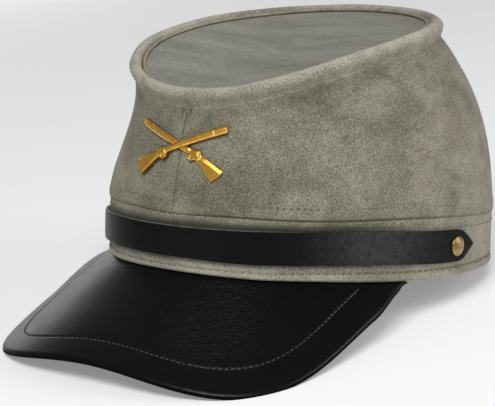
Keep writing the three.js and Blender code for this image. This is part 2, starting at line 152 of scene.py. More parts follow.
# %% Heights of the hem, the crown's seam and the rim
BAND_WALL = 2.3
CROWN_WALL = 1.8
SEAM_GAP = 0.3
HEM = Sizes(front=0.5, falls=4.5, falls_to=100, pulled=0.9, pulled_to=48, pulled_most=26)
SEAM = Sizes(front=26.2, falls=4.2, falls_from=65, falls_to=125, drawn=0.9, at=18, wide=16)
RIM = Sizes(height=101.7, tilt=12.45, saddle=-3.35, nod=-1.25, roll=3.0)


def hem_height(angle):
    away = from_front(angle)
    pulled = HEM.pulled * smoothstep(-away, -HEM.pulled_to, -HEM.pulled_most)
    return HEM.front - pulled - HEM.falls * smoothstep(away, 0, HEM.falls_to)


def seam_height(angle):
    away = from_front(angle)
    drawn_up = SEAM.drawn * valley(away - SEAM.at, SEAM.wide)
    return SEAM.front + drawn_up - SEAM.falls * smoothstep(away, SEAM.falls_from, SEAM.falls_to)


def rim_height(angle):
    back = oval_point(RIM_OVAL, angle)[..., 1] - RIM_OVAL.centre
    lean = math.tan(math.radians(RIM.tilt)) * back
    return RIM.height + lean + RIM.saddle * cos_of(2 * angle) + RIM.nod * cos_of(3 * angle)


for place, angle in (("front", 0.0), ("side", 90.0), ("back", 180.0)):
    heights = [round(float(height(angle)), 1) for height in (hem_height, seam_height, rim_height)]
    print(place, "hem, seam and rim:", heights)

# %% [markdown]
# Every leather piece of this cap is a sheet with a section that changes slowly as it goes round the head.
# A loft says exactly that: rings of points, one for each station, joined into one skin. Subdivision
# modelling would also do, but a loft keeps each seam at the millimetre where it belongs.

# %% A piece from rings of points
def at_rest(point):
    """A point of the straight cap once the cap is set down; leather that meets the table gives way to it"""
    placed = resting @ Vector(point)
    placed.z = max(placed.z, 0.0)
    return placed


def add_object(name, data):
    added = bpy.data.objects.new(name, data)
    bpy.context.scene.collection.objects.link(added)
    return added


def add_piece(name, points, faces, material, marks):
    """A smooth mesh from points of the straight cap, with a share for each point of every mark of wear, dirt
    and painted light
    """
    mesh = bpy.data.meshes.new(name)
    mesh.from_pydata([at_rest(point) for point in points], [], faces)
    for mark, shares in marks.items():
        mesh.attributes.new(mark, "FLOAT", "POINT").data.foreach_set("value", shares.astype(np.float32))
    shape = bmesh.new()
    shape.from_mesh(mesh)
    bmesh.ops.remove_doubles(shape, verts=shape.verts, dist=1e-7)
    bmesh.ops.recalc_face_normals(shape, faces=shape.faces)
    shape.to_mesh(mesh)
    shape.free()
    mesh.shade_smooth()
    piece = add_object(name, mesh)
    mesh.materials.append(material)
    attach(piece, "root")
    print(name, "has", len(mesh.vertices), "points and", len(mesh.polygons), "faces")
    return piece


def loft_faces(rings, points_each, closes, first):
    """Quads between neighbouring rings; a loft that doesn't close gets its two ends capped"""
    faces = []
    for ring in range(rings if closes else rings - 1):
        here = first + ring * points_each
        there = first + (ring + 1) % rings * points_each
        for side in range(points_each):
            beside = (side + 1) % points_each
            faces.append((here + side, here + beside, there + beside, there + side))
    if not closes:
        last = first + (rings - 1) * points_each
        faces.append(tuple(range(first, first + points_each)))
        faces.append(tuple(reversed(range(last, last + points_each))))
    return faces


def add_lofts(name, lofts, closes, material, slot, **marks):
    """One piece from lofts, each an array of rings; a mark is a number, or an array for each loft"""
    points, faces = [], []
    for rings in lofts:
        faces += loft_faces(rings.shape[0], rings.shape[1], closes, first=sum(map(len, points)))
        points.append(rings.reshape(-1, 3))
    for mark, shares in marks.items():
        each = [shares] * len(lofts) if isinstance(shares, float) else shares
        spread = [np.broadcast_to(share, rings.shape[:2]).reshape(-1) for share, rings in zip(each, lofts)]
        marks[mark] = np.concatenate(spread)
    return add_piece(name, np.concatenate(points), faces, material, marks)


# %% [markdown]
# The camera stands where the photographer's did, low and to the cap's front left, a little under a metre
# away. A long lens keeps the far side from shrinking. The aim comes first, because it tells how large a
# millimetre is in the picture, and so how coarse a grain may be drawn and still show.

# %% Camera
VIEW = Sizes(azimuth=38.56, elevation=15.13, roll=-4.52, distance=0.9233, lens=138.1)
AIM = Vector((-0.0063, 0.0, 0.0485))
SENSOR_WIDTH = 36
PICTURE_WIDTH = 495


def aim_camera(view, target):
    azimuth = math.radians(view.azimuth)
    elevation = math.radians(view.elevation)
    back = Vector((
        math.sin(azimuth) * math.cos(elevation),
        -math.cos(azimuth) * math.cos(elevation),
        math.sin(elevation),
    ))
    camera = add_object("camera", bpy.data.cameras.new("camera"))
    turn = (-back).to_track_quat("-Z", "Y").to_matrix().to_4x4()
    roll = Matrix.Rotation(math.radians(view.roll), 4, "Z")
    camera.matrix_world = Matrix.Translation(target + back * view.distance) @ turn @ roll
    camera.data.sensor_width = SENSOR_WIDTH
    camera.data.lens = view.lens
    return camera


bpy.context.scene.camera = aim_camera(VIEW, AIM)
mm_per_pixel = 1000 * VIEW.distance * SENSOR_WIDTH / VIEW.lens / PICTURE_WIDTH
print("a pixel of the picture covers", round(mm_per_pixel, 2), "mm at the cap")

# %% [markdown]
# The picture was taken in a light tent: pale ground, soft light all round, and one narrow panel low on the
# left that draws the long grey gleam on the visor. Suede hardly cares where light comes from, but smooth
# black leather is a mirror for it, so the panels stand where the leather shows them.

# %% Floor and lights
PANELS = (
    ("front_panel", (0.75, -1.25, 1.75), (0, 0, 0.06), (1.4, 1.0), 34, "ffffff"),
    ("left_panel", (-1.08, 0.68, 0.18), (0, 0, 0.03), (0.6, 0.22), 0.66, "ffffff"),
    ("right_panel", (1.5, 0.9, 0.7), (0, 0, 0.07), (1.0, 1.0), 10.0, "f5ecf9"),
)
TENT_LIGHT = 0.15
FLOOR_REACH = 12


def hex_colour(code):
    """Linear colour, with alpha, from an sRGB hex code such as 8b8776"""
    parts = [int(code[start:start + 2], 16) / 255 for start in (0, 2, 4)]
    linear = [part / 12.92 if part <= 0.04045 else ((part + 0.055) / 1.055) ** 2.4 for part in parts]
    return (*linear, 1.0)


for name, place, target, size, watts, colour in PANELS:
    light = bpy.data.lights.new(name, "AREA")
    light.shape = "RECTANGLE"
    light.size, light.size_y = size
    light.energy = watts
    light.color = hex_colour(colour)[:3]
    panel = add_object(name, light)
    panel.location = place
    panel.rotation_mode = "QUATERNION"
    panel.rotation_quaternion = (Vector(target) - Vector(place)).to_track_quat("-Z", "Y")

world = bpy.data.worlds.new("light_tent")
world.use_nodes = True
world.node_tree.nodes["Background"].inputs["Color"].default_value = hex_colour("f4f5f7")
world.node_tree.nodes["Background"].inputs["Strength"].default_value = TENT_LIGHT
bpy.context.scene.world = world

floor_mesh = bpy.data.meshes.new("floor")
floor_corners = [(x * FLOOR_REACH, y * FLOOR_REACH, 0) for x, y in ((-1, -1), (1, -1), (1, 1), (-1, 1))]
floor_mesh.from_pydata(floor_corners, [], [(0, 1, 2, 3)])
floor = add_object("floor", floor_mesh)
print("lights:", ", ".join(panel[0] for panel in PANELS))

# %% [markdown]
# A material in Blender is a small graph of nodes. One helper is enough to build any of them: it adds a
# node, sets its properties, and fills each input either with a value or with the output of another node.
# The few kinds of node that every finish here needs then get a short helper of their own.

# %% Helpers for material nodes
def add_node(tree, kind, settings=None, **inputs):
    """Adds a node; an input is a number, a colour or an output socket, by the input's name or number"""
    node = tree.nodes.new(kind)
    for key, value in (settings or {}).items():
        setattr(node, key, value)
    for key, value in inputs.items():
        numbered = key[0] == "i" and key[1:].isdigit()
        socket = node.inputs[int(key[1:]) if numbered else key.replace("_", " ")]
        if isinstance(value, bpy.types.NodeSocket):
            tree.links.new(value, socket)
        else:
            socket.default_value = value
    return node


def new_material(name):
    material = bpy.data.materials.new(name)
    material.use_nodes = True
    material.node_tree.nodes.clear()
    return material, material.node_tree


def finish_material(tree, **inputs):
    shader = add_node(tree, "ShaderNodeBsdfPrincipled", **inputs)
    output = add_node(tree, "ShaderNodeOutputMaterial")
    tree.links.new(shader.outputs["BSDF"], output.inputs["Surface"])


def piece_place(tree):
    return add_node(tree, "ShaderNodeTexCoord").outputs["Object"]


def stretched(tree, place, scale):
    return add_node(tree, "ShaderNodeMapping", i0=place, Scale=scale).outputs["Vector"]


def add_noise(tree, place, size_mm, detail, roughness, distortion=0.0):
    """Noise with cells of a size in millimetres, on coordinates in metres"""
    return add_node(
        tree, "ShaderNodeTexNoise",
        Vector=place, Scale=1000 / size_mm, Detail=detail, Roughness=roughness, Distortion=distortion,
    ).outputs[0]


def remap(tree, value, low, high, to_low, to_high):
    return add_node(
        tree, "ShaderNodeMapRange", Value=value, From_Min=low, From_Max=high, To_Min=to_low, To_Max=to_high,
    ).outputs[0]


def mix_shares(tree, share, first, second):
    return add_node(tree, "ShaderNodeMix", {"data_type": "FLOAT"}, i0=share, i2=first, i3=second).outputs[0]


def mix_colours(tree, share, first, second):
    """A mix of two colours, each a hex code or an output socket"""
    first, second = (hex_colour(one) if isinstance(one, str) else one for one in (first, second))
    return add_node(tree, "ShaderNodeMix", {"data_type": "RGBA"}, i0=share, i6=first, i7=second).outputs[2]


def multiply_add(tree, first, second, added=0.0):
    settings = {"operation": "MULTIPLY_ADD"}
    return add_node(tree, "ShaderNodeMath", settings, i0=first, i1=second, i2=added).outputs[0]


def read_mark(tree, name):
    """The share of a mark of wear, dirt and painted light that each point of a mesh carries"""
    return add_node(tree, "ShaderNodeAttribute", {"attribute_name": name}).outputs["Fac"]


def add_bump(tree, strength, distance, height, **normal):
    inputs = {"Strength": strength, "Distance": distance, "Height": height, **normal}
    return add_node(tree, "ShaderNodeBump", **inputs).outputs[0]


FLOOR_GLOW = 0.24
acrylic, acrylic_tree = new_material("white_acrylic_lit_from_below")
finish_material(
    acrylic_tree,
    Base_Color=hex_colour("fbfbfb"),
    Roughness=0.9,
    Specular_IOR_Level=0.2,
    Emission_Color=hex_colour("ffffff"),
    Emission_Strength=FLOOR_GLOW,
)
floor.data.materials.append(acrylic)
print("the floor is", acrylic.name)

# %% [markdown]
# Suede is the flesh side of a hide, sanded until its fibres stand up as a nap. The nap has no gloss; where
# a hand has brushed it the other way it turns lighter or darker, so a suede cap always looks cloudy. Three
# sizes of noise draw that: clouds of about 26 mm, mottling of about 5 mm, and the nap itself. A real nap is
# finer than a pixel here, so it is drawn at 0.75 mm, as coarse as it needs to be to show. Two marks are read
# from the mesh. Suede is rubbed pale where it sticks out, and on the rim's crest that pale is also a painted
# highlight. It is darker where dust settles in a seam, and with painted shade in creases, under the rim and
# between parts.

# %% Grey napped suede
# The pale colour is rubbed suede and the painted highlight on the rim's crest; the dark one is dirt and
# painted shade.
SUEDE = Sizes(mottling_mm=5, nap_mm=0.75, stain_mm=24, worn="c2bfae", dirty="3c382b")


def make_suede(name, dark, middle, light, tint, cloud_mm, brushing):
    material, tree = new_material(name)
    place = piece_place(tree)
    brushed = stretched(tree, place, brushing)
    clouds = add_noise(tree, brushed, cloud_mm, 4.0, 0.6, 0.5)
    mottling = add_noise(tree, brushed, SUEDE.mottling_mm, 3.0, 0.6)
    nap = add_noise(tree, place, SUEDE.nap_mm, 1.0, 0.8)
    shade = mix_shares(tree, 0.52, mix_shares(tree, 0.2, clouds, mottling), nap)
    ramp = add_node(tree, "ShaderNodeValToRGB", Fac=shade)
    stops = ramp.color_ramp.elements
    stops[0].position, stops[0].color = 0.32, hex_colour(dark)
    stops[1].position, stops[1].color = 0.68, hex_colour(light)
    stops.new(0.5).color = hex_colour(middle)
    stained = remap(tree, add_noise(tree, place, SUEDE.stain_mm, 3.0, 0.6), 0.60, 0.76, 0.0, 0.35)
    # Paler where the suede is rubbed, and on the rim's crest as a painted highlight
    rubbed = multiply_add(tree, read_mark(tree, "rubbed"), remap(tree, shade, 0.42, 0.58, 0.4, 1.3))
    colour = mix_colours(tree, stained, ramp.outputs["Color"], tint)
    colour = mix_colours(tree, rubbed, colour, SUEDE.worn)
    # Darker with dirt, and with painted shade in creases, under the rim and between parts
    colour = mix_colours(tree, read_mark(tree, "soiled"), colour, SUEDE.dirty)
    fibres = add_bump(tree, 0.45, 0.0003, nap)
    finish_material(
        tree,
        Base_Color=colour,
        Roughness=0.92,
        Specular_IOR_Level=0.2,
        Sheen_Weight=0.2,
        Sheen_Roughness=0.5,
        Sheen_Tint=hex_colour("d8d6c8"),
        Normal=add_bump(tree, 0.5, 0.0006, mottling, Normal=fibres),
    )
    return material


grey_suede = make_suede("grey_napped_suede", "47453a", "7d7a68", "aba897", "8c7a66", 26, (1.0, 1.0, 1.3))
panel_suede = make_suede(
    "grey_napped_suede_top", "6e6e63", "929185", "afaea3", "80828a", 24, (0.5, 1.5, 1.0),
)
print("suedes:", grey_suede.name, "and", panel_suede.name)

# %% [markdown]
# The visor and the strap are vegetable-tanned cowhide, dyed black and finished with wax. The surface is
# smooth, with a grain under a millimetre, and where the visor was worked over its form it keeps fine
# wrinkles, about 1.3 mm apart and four times as long: a mark on the mesh says where. Its gloss is broad,
# never sharp, because the wax is thin. Cut edges and the flesh side are dyed but never waxed, and a mark
# for them takes the gloss away. The mark for rubbed places shows here as dust, which dulls the strap in
# patches, and as a painted highlight in the same pale colour along the strap's top edge in front.

# %% Waxed black leather
LEATHER = Sizes(roughness=0.30, grain_mm=0.9, wrinkle_mm=1.3, wrinkle_stretch=0.28)


def make_leather(name, colour, dust_and_painted_light, gloss, dust_mm):
    material, tree = new_material(name)
    place = piece_place(tree)
    across = stretched(tree, place, (LEATHER.wrinkle_stretch, 1.0, 1.0))
    wrinkles = add_noise(tree, across, LEATHER.wrinkle_mm, 3.0, 0.65, 0.6)
    grain = add_noise(tree, place, LEATHER.grain_mm, 2.0, 0.7)
    wax = add_noise(tree, place, dust_mm, 5.0, 0.7)
    waxed = remap(tree, wax, 0.3, 0.7, LEATHER.roughness - 0.04, LEATHER.roughness + 0.05)
    raw = read_mark(tree, "raw")
    # Dust in patches, and on the strap's top edge a painted highlight, both in the second colour
    dust_and_highlight = multiply_add(tree, read_mark(tree, "rubbed"), remap(tree, wax, 0.38, 0.62, 0.5, 1.0))
    fine = add_bump(tree, 0.3, 0.0002, grain)
    finish_material(
        tree,
        Base_Color=mix_colours(tree, dust_and_highlight, colour, dust_and_painted_light),
        Roughness=multiply_add(tree, raw, 0.35, waxed),
        Specular_IOR_Level=remap(tree, raw, 0.0, 1.0, gloss, 0.03),
        Normal=add_bump(tree, read_mark(tree, "worked"), 0.001, wrinkles, Normal=fine),
    )
    return material


visor_leather = make_leather("waxed_black_cowhide", "090909", "4a4a4c", gloss=0.25, dust_mm=9.0)
strap_leather = make_leather("waxed_black_strap_leather", "141515", "8f9592", gloss=0.03, dust_mm=2.5)
print("leathers:", visor_leather.name, "and", strap_leather.name)

# %% [markdown]
# Sewing thread is a twisted cord under half a millimetre thick. The stripes of its twist are finer than a
# pixel, so they only soften the thread's colour a little; the stitch itself is real geometry.

# %% Sewing threads
def make_thread(name, colour, light):
    material, tree = new_material(name)
    twist = add_noise(tree, piece_place(tree), 0.8, 1.0, 0.5)
    strands = mix_colours(tree, twist, colour, light)
    finish_material(tree, Base_Color=strands, Roughness=0.75, Normal=add_bump(tree, 0.4, 0.0001, twist))
    return material


# The grey thread is darker than the suede: painted shade of the stitch holes
grey_thread = make_thread("grey_linen_thread", "4e4a3a", "736e59")
black_thread = make_thread("waxed_black_thread", "2c2c2b", "5e5e5b")
print("threads:", grey_thread.name, "and", black_thread.name)

# %% [markdown]
# The badge is stamped brass with a gilt finish: a warm yellow metal, bright on its raised parts and browner
# along its outline, where no cloth reaches to polish it. The rivets are bare brass that has aged to a
# duller, greener yellow with small darker freckles.

# %% Gilt and aged brass
def make_metal(name, dull, bright, tarnish, metallic, roughness, freckle_mm, pit_depth):
    material, tree = new_material(name)
    freckles = add_noise(tree, piece_place(tree), freckle_mm, 4.0, 0.65)
    tone = mix_colours(tree, remap(tree, freckles, 0.35, 0.6, 0.0, 1.0), dull, bright)
    finish_material(
        tree,
        Base_Color=mix_colours(tree, read_mark(tree, "soiled"), tone, tarnish),
        Metallic=metallic,
        Roughness=remap(tree, freckles, 0.3, 0.7, roughness + 0.12, roughness - 0.06),
        Normal=add_bump(tree, 0.5, pit_depth, freckles),
    )
    return material


gilt_brass = make_metal("gilt_stamped_brass", "e6a032", "ffd062", "7a4310", 0.8, 0.29, 1.6, 0.00003)
aged_brass = make_metal("aged_spun_brass", "8d7548", "b09864", "5c4a2a", 1.0, 0.38, 2.4, 0.00001)
print("metals:", gilt_brass.name, "and", aged_brass.name)

# %% [markdown]
# The crown's side is a wall of suede cut from two halves and sewn up the front and the back. From the seam
# above the band it leans in, swells over the ears and the back, and ends in a hollow neck under the rim,
# where the edge is turned over into a soft roll. A low and a high bulge, each a sum of four waves round the
# head, give all of that. At the back quarters the leather is slack and fills the neck a little.

# %% The shape of the crown's side
LOW_BULGE = (5.1, -3.2, -1.3, 0.0)
HIGH_BULGE = (5.5, -11.4, 2.3, 5.5)
NECK = Sizes(inset=2.4, deeper_in_front=0.9, below=6.5)
SLACK = Sizes(angle=128.0, wide=26, neck=1.3, rim=0.7)
WALL_FOOT = 0.35


def bulge(waves, angle):
    return sum(size * cos_of(number * angle) for number, size in enumerate(waves))


def neck_inset(angle):
    return NECK.inset + NECK.deeper_in_front * cos_of(angle)


def slack(angle):
    """How slack the leather is at the neck and the rim, as a share"""
    return valley(from_front(angle) - SLACK.angle, SLACK.wide)


def wall_point(angle, share):
    """Outer face of the crown's side, share 0 at the seam and 1 at the neck"""
    angle, share = np.broadcast_arrays(np.asarray(angle, float), np.asarray(share, float))
    foot = beside_oval(BAND_OVAL, angle, WALL_FOOT, seam_height(angle) + SEAM_GAP)
    neck = beside_oval(RIM_OVAL, angle, RIM.roll - neck_inset(angle), rim_height(angle) - NECK.below)
    stands = 3 * (1 - share) ** 2 * share * bulge(LOW_BULGE, angle)
    stands = stands + 3 * (1 - share) * share ** 2 * bulge(HIGH_BULGE, angle)
    mix = share[..., None]
    out = blend(mix, outward(BAND_OVAL, angle), outward(RIM_OVAL, angle))
    point = blend(mix, foot, neck)
    point[..., :2] += out * stands[..., None]
    return point


def wall_normal(angle, share):
    around = wall_point(angle + 0.5, share) - wall_point(angle - 0.5, share)
    up = wall_point(angle, share + 0.01) - wall_point(angle, share - 0.01)
    return unit(np.cross(around, up))


print("crown front leans from", wall_point(0.0, 0.0).round(1), "to", wall_point(0.0, 1.0).round(1))

# %% [markdown]
# Relief is how far the finished surface stands above or below the plain one. A seam is a narrow valley
# between two soft welts, because two edges are turned in behind it; a fold is a wider, shallower valley.
# Hide is never flat either, so smooth noise lifts and sinks the whole wall by a few tenths of a millimetre.

# %% Relief of the crown's side
SEAM_ANGLES = (0, 180)
CROWN_DEGREE, NECK_DEGREE, BAND_DEGREE = 1.45, 1.25, 1.6  # mm that a degree measures along each
SEAM_WELT = Sizes(high=0.3, beside=2.3, wide=1.5)
SEAM_VALLEY = Sizes(deep=0.6, wide=0.45)
FOLD_FADES = 0.35
WALL_FOLDS = (
    Sizes(angle=-1.3, low=0.90, high=1.06, wide=0.55, deep=0.9),
    Sizes(angle=1.3, low=0.88, high=1.08, wide=0.55, deep=1.0),
    Sizes(angle=100.0, low=0.86, high=1.12, wide=2.6, deep=0.9),
    Sizes(angle=107.0, low=0.90, high=1.10, wide=3.4, deep=-0.5),
    Sizes(angle=115.0, low=0.88, high=1.12, wide=2.4, deep=0.8),
    Sizes(angle=-104.0, low=0.88, high=1.12, wide=2.8, deep=0.7),
    Sizes(angle=152.0, low=0.85, high=1.10, wide=3.0, deep=0.7),
    Sizes(angle=-148.0, low=0.86, high=1.10, wide=2.6, deep=0.8),
)


def turned(angle, other):
    """Signed angle from one direction to another, -180 to 180"""
    return np.mod(angle - other + 180, 360) - 180


def seam_relief(distance):
    welts = SEAM_WELT.high * valley(np.abs(distance) - SEAM_WELT.beside, SEAM_WELT.wide)
    return welts - SEAM_VALLEY.deep * valley(distance, SEAM_VALLEY.wide)


def fold_depth(fold, angle, share):
    around = valley(turned(angle, fold.angle) * NECK_DEGREE, fold.wide)
    from_middle = share - (fold.low + fold.high) / 2
    return fold.deep * around * valley(from_middle, FOLD_FADES * (fold.high - fold.low))


def wall_relief(angle, share):
    seams = sum(seam_relief(turned(angle, seam) * CROWN_DEGREE) for seam in SEAM_ANGLES)
    return seams - sum(fold_depth(fold, angle, share) for fold in WALL_FOLDS)


def hide_waves(points, size, height, seed):
    """Smooth noise at each point, in the same unit as its height"""
    flat = points.reshape(-1, 3)
    lift = [height * noise.noise(Vector((x, y, z)) / size + Vector((seed, 0, 0))) for x, y, z in flat]
    return np.array(lift).reshape(points.shape[:-1])


print("the front seam lies", round(float(-seam_relief(0.0)), 2), "mm deep")

# %% [markdown]
# The section runs up the outer face, over the rolled rim, down the inner face and along the lap that is
# sewn behind the band, and back. Stations crowd together near the two seams, where the valley is only a
# millimetre wide, and stand further apart elsewhere. The hide's waves leave out the first rows above the
# seam and everything inside, so that the crown still meets the band cleanly.

# %% Crown side
NEAR_SEAM = (0.15, 0.35, 0.6, 0.9, 1.3, 1.8, 2.4)
SEAM_REACH = 2.6
LAP = Sizes(outer=-BAND_WALL - SEAM_GAP, inner=-BAND_WALL - SEAM_GAP - CROWN_WALL)
TURNED_EDGE = ((-0.9, -0.2), (-0.1, -0.45), (0.3, -0.3), (0.45, 0.1))
ROLL_TURNS = np.linspace(-66, 215, 36)
WAVY = slice(9, 98)


def stations(step, near=()):
    """Rising angles round the head, with more of them on both sides of the front and the back seam"""
    angles = set(np.round(np.arange(0, 360, step), 4))
    for seam in SEAM_ANGLES:
        angles = {angle for angle in angles if from_front(angle - seam) > SEAM_REACH}
        angles |= {np.round(np.mod(seam + side * turn, 360), 4) for turn in (0, *near) for side in (-1, 1)}
    return np.array(sorted(angles))


def crown_section(angle):
    """Rings of the crown's side, from the lap up, over the rim and down inside, with their marks of wear,
    dirt and painted light
    """
    seam = seam_height(angle)
    clean = np.zeros_like(angle)
    lap = [(LAP.outer, -down) for down in (8.0, 4.0, 0.3)] + list(TURNED_EDGE)
    rings = [beside_oval(BAND_OVAL, angle, out, seam + up) for out, up in lap]
    rubbed = [clean] * len(rings)
    # The lap's turned edge is darkened as painted shade in the line between crown and band, most over the
    # wearer's left front
    soiled = [0.25 + 0.5 * smoothstep(angle, 0, 20) * smoothstep(-angle, -100, -60)] * len(rings)
    in_seam = sum(valley(turned(angle, place) * CROWN_DEGREE, 0.35) for place in SEAM_ANGLES)
    for share in np.linspace(0.012, 1, 58) ** 1.02:
        puffed = 0.35 * valley(share - 0.03, 0.035)
        filled = SLACK.neck * slack(angle) * smoothstep(share, 0.82, 1.0)
        lift = wall_relief(angle, share) + puffed + filled
        rings.append(wall_point(angle, share) + wall_normal(angle, share) * lift[..., None])
        rubbed.append(clean)
        # Painted shade in the two creases beside the front seam and in the neck under the rim; both seams
        # darken just under the rim as dark joints
        creased = 0.6 * sum(fold_depth(fold, angle, share) for fold in WALL_FOLDS[:2])
        seamed = 0.4 * in_seam * smoothstep(1.0 - share, 0.0, 0.05)
        soiled.append(seamed + creased + 0.12 * valley(share - 0.95, 0.06))
    for turn in ROLL_TURNS:
        swell = smoothstep(sin_of(turn), -1.0, 0.0) if turn < 0 else 1.0
        out = RIM.roll * (cos_of(turn) if turn > 0 else 1.0) - neck_inset(angle) * (1 - swell)
        up = (NECK.below if turn < 0 else RIM.roll) * sin_of(turn)
        folds = wall_relief(angle, 1.04 + (turn - ROLL_TURNS[0]) / 400)
        fades = smoothstep(-turn, -120, -20) * (1.0 if turn < 30 else 0.3)
        fuller = SLACK.neck * (1 - swell) + SLACK.rim * swell * smoothstep(-turn, -80, 0)
        out = out + folds * fades + fuller * slack(angle)
        rings.append(beside_oval(RIM_OVAL, angle, out, rim_height(angle) + up))
        # The roll is pale with wear and palest on its upward crest, where the pale is also a painted
        # highlight
        rubbed.append((0.4 + 0.8 * valley(turn - 92, 52)) * (1 - 0.6 * slack(angle)))
        # Painted shade under the roll and in the crevice beside the top
        soiled.append(clean + 0.22 * valley(turn + 45, 40) + 0.5 * smoothstep(turn, 150, 185))
    for share in np.linspace(0.985, 0.06, 34):
        rings.append(wall_point(angle, share) - wall_normal(angle, share) * CROWN_WALL)
    rings += [beside_oval(BAND_OVAL, angle, LAP.inner, seam + up) for up in (1.5, -4.0, -8.0)]
    inside = [clean] * (len(rings) - len(rubbed))
    return [np.stack(rows, axis=1) for rows in (rings, rubbed + inside, soiled + inside)]


crown_rings, crown_rubbed, crown_soiled_and_shaded = crown_section(stations(1.1, NEAR_SEAM))
for axis, size, height, seed in ((2, 26, 0.3, 3), (0, 30, 0.55, 11), (1, 30, 0.55, 19)):
    crown_rings[:, WAVY, axis] += hide_waves(crown_rings[:, WAVY], size, height, seed)
crown_marks = {"rubbed": [crown_rubbed], "soiled": [crown_soiled_and_shaded]}
crown_wall = add_lofts("crown_wall", [crown_rings], True, grey_suede, "suede", **crown_marks)
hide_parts("crown_side")

# %% [markdown]
# The top is one oval of suede, cut from a smoother part of the hide. It hangs a little between its edges
# like a slack drum skin, and its nap was brushed from side to side. Concentric ovals make the mesh, with
# the same number of points in each, so the edge can meet the rolled rim all the way round.

# %% Crown top
PANEL = Sizes(wall=1.6, below=0.6, dish=2.5, hub=0.03)
WAVY_LOOPS = 38


def panel_height(angle, share):
    level = RIM.height - PANEL.below
    edge = rim_height(angle) - PANEL.below
    return blend(share, level, edge) - PANEL.dish * (1 - share ** 2)


def panel_loop(angle, share, drop):
    edge = oval_point(RIM_OVAL, angle) - outward(RIM_OVAL, angle) * (RIM.roll + SEAM_GAP)
    plan = blend(share, np.array([0.0, RIM_OVAL.centre]), edge)
    return np.concatenate([plan, (panel_height(angle, share) - drop)[..., None]], axis=-1)


panel_angles = stations(2.5)
upper = [panel_loop(panel_angles, share, 0.0) for share in np.linspace(PANEL.hub, 1, 40)]
lower = [panel_loop(panel_angles, share, PANEL.wall) for share in np.linspace(1, PANEL.hub, 14)]
panel_rings = np.stack(upper + lower)
panel_rings[:WAVY_LOOPS, :, 2] += hide_waves(panel_rings[:WAVY_LOOPS], 22, 0.5, 29) - 0.1
top_panel = add_lofts("top_panel", [panel_rings], False, panel_suede, "panel_suede")
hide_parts("crown_top")

# %% [markdown]
# Between rim and top runs a welt: a folded strip of the same suede, stitched into the joint so that only a
# thin bead of it shows. A round bead swept along the rim is all it takes, pinched a little at each stitch.

# %% Top welt
WELT = Sizes(radius=0.9, pinch=0.10, pitch=3.2, sides=14)


def welt_section(angle):
    around = length_along(oval_point(RIM_OVAL, angle)) / WELT.pitch
    radius = WELT.radius * (1 - WELT.pinch * cos_of(360 * around) ** 2)
    away = -RIM.roll - WELT.radius
    level = rim_height(angle) - PANEL.below + WELT.radius
    turns = np.linspace(0, 360, WELT.sides, endpoint=False)
    bead = [(away + radius * cos_of(turn), level + radius * sin_of(turn)) for turn in turns]
    return sweep(RIM_OVAL, angle, bead)


welt_bead = add_lofts("welt_bead", [welt_section(stations(0.75))], True, grey_suede, "suede", rubbed=0.45)
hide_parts("top_welt")

# %% [markdown]
# The strap lies over the band, so the band has to know where: along the strap's upper edge the suede is
# darkened, partly with dust and old polish and partly with painted shade from the crown's seam above and the
# strap beside it, most of all in front, where the strap has never been lifted. Towards both rivets the strap
# sinks, and its right half is a little narrower.

# %% Where the strap lies
STRAP = Sizes(
    half_width=7.8, thickness=2.0, corner=0.6, bow=0.2, middle=13.3, tilt=1.0,
    drop=3.8, drops_left=50.0, drops_right=20.0, narrower=0.6, narrows_over=28.0,
    shoulder=92.6, tip=97.8, tip_half=0.9, rounding=1.6,
)


def strap_loss(angle):
    """How much less than its half width the strap measures towards its right end"""
    return STRAP.narrower * smoothstep(-angle, -STRAP.narrows_over, 0)


def strap_middle(angle):
    drops_from = np.where(angle > 0, STRAP.drops_left, STRAP.drops_right)
    sunk = STRAP.drop * smoothstep(from_front(angle), drops_from, STRAP.tip)
    return STRAP.middle + STRAP.tilt * sin_of(angle) - sunk + strap_loss(angle)


strap_edges = [round(STRAP.middle + side * STRAP.half_width, 1) for side in (-1, 1)]
print("in front the strap lies between", strap_edges, "mm")

# %% [markdown]
# The band is the firm part of the cap, a strip of suede round the head with its lower edge rolled inwards
# and stitched. The roll is soft, so every stitch pulls a dimple into it, one each 3.8 mm. Its upper edge
# is turned in under the crown, which leaves a rounded shoulder and a dark line above it.

# %% Head band
HEM_ROLL = Sizes(centre=-0.95, out=1.35, up=1.3)
HEM_STITCH = Sizes(pitch=3.8, up_in_front=2.7, up_behind=4.2, wide=0.8)
SHOULDER = 0.9


def hem_stitch_up(angle):
    rising = smoothstep(from_front(angle), 5, 70)
    return blend(rising, HEM_STITCH.up_in_front, HEM_STITCH.up_behind)


